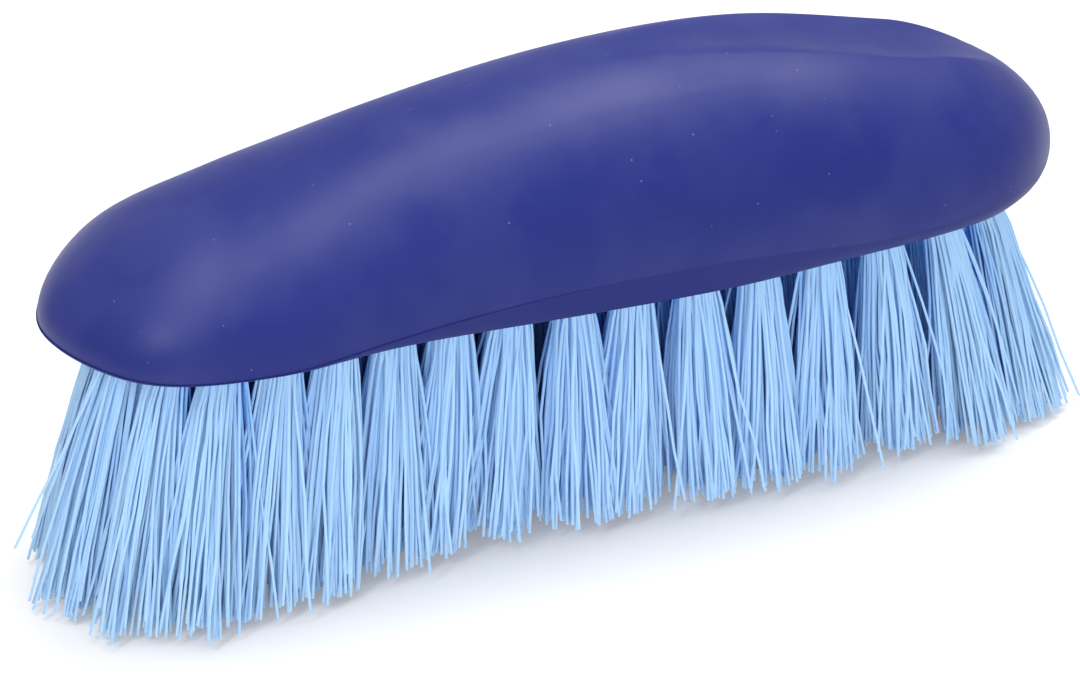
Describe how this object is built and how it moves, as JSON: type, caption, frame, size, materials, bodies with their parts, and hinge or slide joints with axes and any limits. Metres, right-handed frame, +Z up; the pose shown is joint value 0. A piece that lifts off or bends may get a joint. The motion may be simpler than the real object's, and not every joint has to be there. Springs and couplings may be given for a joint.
{
  "type": "horse grooming brush",
  "caption": "Palm-sized grooming brush: a hollow arched grip with a thumb dish on a block of long stiff bristles, its tufts set in two curved and two straight rows.",
  "frame": {"origin": "on the plane of the bristle tips, under the middle of the brush", "axes": "+X along the brush towards its taller end, +Y across it, +Z up from the tips to the crown of the grip"},
  "size_m": [0.2034, 0.0612, 0.0883],
  "materials": {
    "grip": "satin moulded, indigo blue",
    "block": "satin moulded, indigo blue",
    "bristle": "drawn filament, pale sky blue",
    "anchor": "plated flat wire"
  },
  "bodies": {
    "root": {"grip_cover": "grip", "bristle_block": "block", "bristle_row_1": "bristle", "bristle_row_2": "bristle", "bristle_row_3": "bristle", "bristle_row_4": "bristle", "tuft_anchor_1_01": "anchor", "tuft_anchor_1_02": "anchor", "tuft_anchor_1_03": "anchor", "tuft_anchor_1_04": "anchor", "tuft_anchor_1_05": "anchor", "tuft_anchor_1_06": "anchor", "tuft_anchor_1_07": "anchor", "tuft_anchor_1_08": "anchor", "tuft_anchor_1_09": "anchor", "tuft_anchor_1_10": "anchor", "tuft_anchor_1_11": "anchor", "tuft_anchor_1_12": "anchor", "tuft_anchor_1_13": "anchor", "tuft_anchor_1_14": "anchor", "tuft_anchor_1_15": "anchor", "tuft_anchor_1_16": "anchor", "tuft_anchor_2_01": "anchor", "tuft_anchor_2_02": "anchor", "tuft_anchor_2_03": "anchor", "tuft_anchor_2_04": "anchor", "tuft_anchor_2_05": "anchor", "tuft_anchor_2_06": "anchor", "tuft_anchor_2_07": "anchor", "tuft_anchor_2_08": "anchor", "tuft_anchor_2_09": "anchor", "tuft_anchor_2_10": "anchor", "tuft_anchor_2_11": "anchor", "tuft_anchor_3_01": "anchor", "tuft_anchor_3_02": "anchor", "tuft_anchor_3_03": "anchor", "tuft_anchor_3_04": "anchor", "tuft_anchor_3_05": "anchor", "tuft_anchor_3_06": "anchor", "tuft_anchor_3_07": "anchor", "tuft_anchor_3_08": "anchor", "tuft_anchor_3_09": "anchor", "tuft_anchor_3_10": "anchor", "tuft_anchor_3_11": "anchor", "tuft_anchor_4_01": "anchor", "tuft_anchor_4_02": "anchor", "tuft_anchor_4_03": "anchor", "tuft_anchor_4_04": "anchor", "tuft_anchor_4_05": "anchor", "tuft_anchor_4_06": "anchor", "tuft_anchor_4_07": "anchor", "tuft_anchor_4_08": "anchor", "tuft_anchor_4_09": "anchor", "tuft_anchor_4_10": "anchor", "tuft_anchor_4_11": "anchor", "tuft_anchor_4_12": "anchor", "tuft_anchor_4_13": "anchor", "tuft_anchor_4_14": "anchor", "tuft_anchor_4_15": "anchor", "tuft_anchor_4_16": "anchor"}
  },
  "joints": []
}
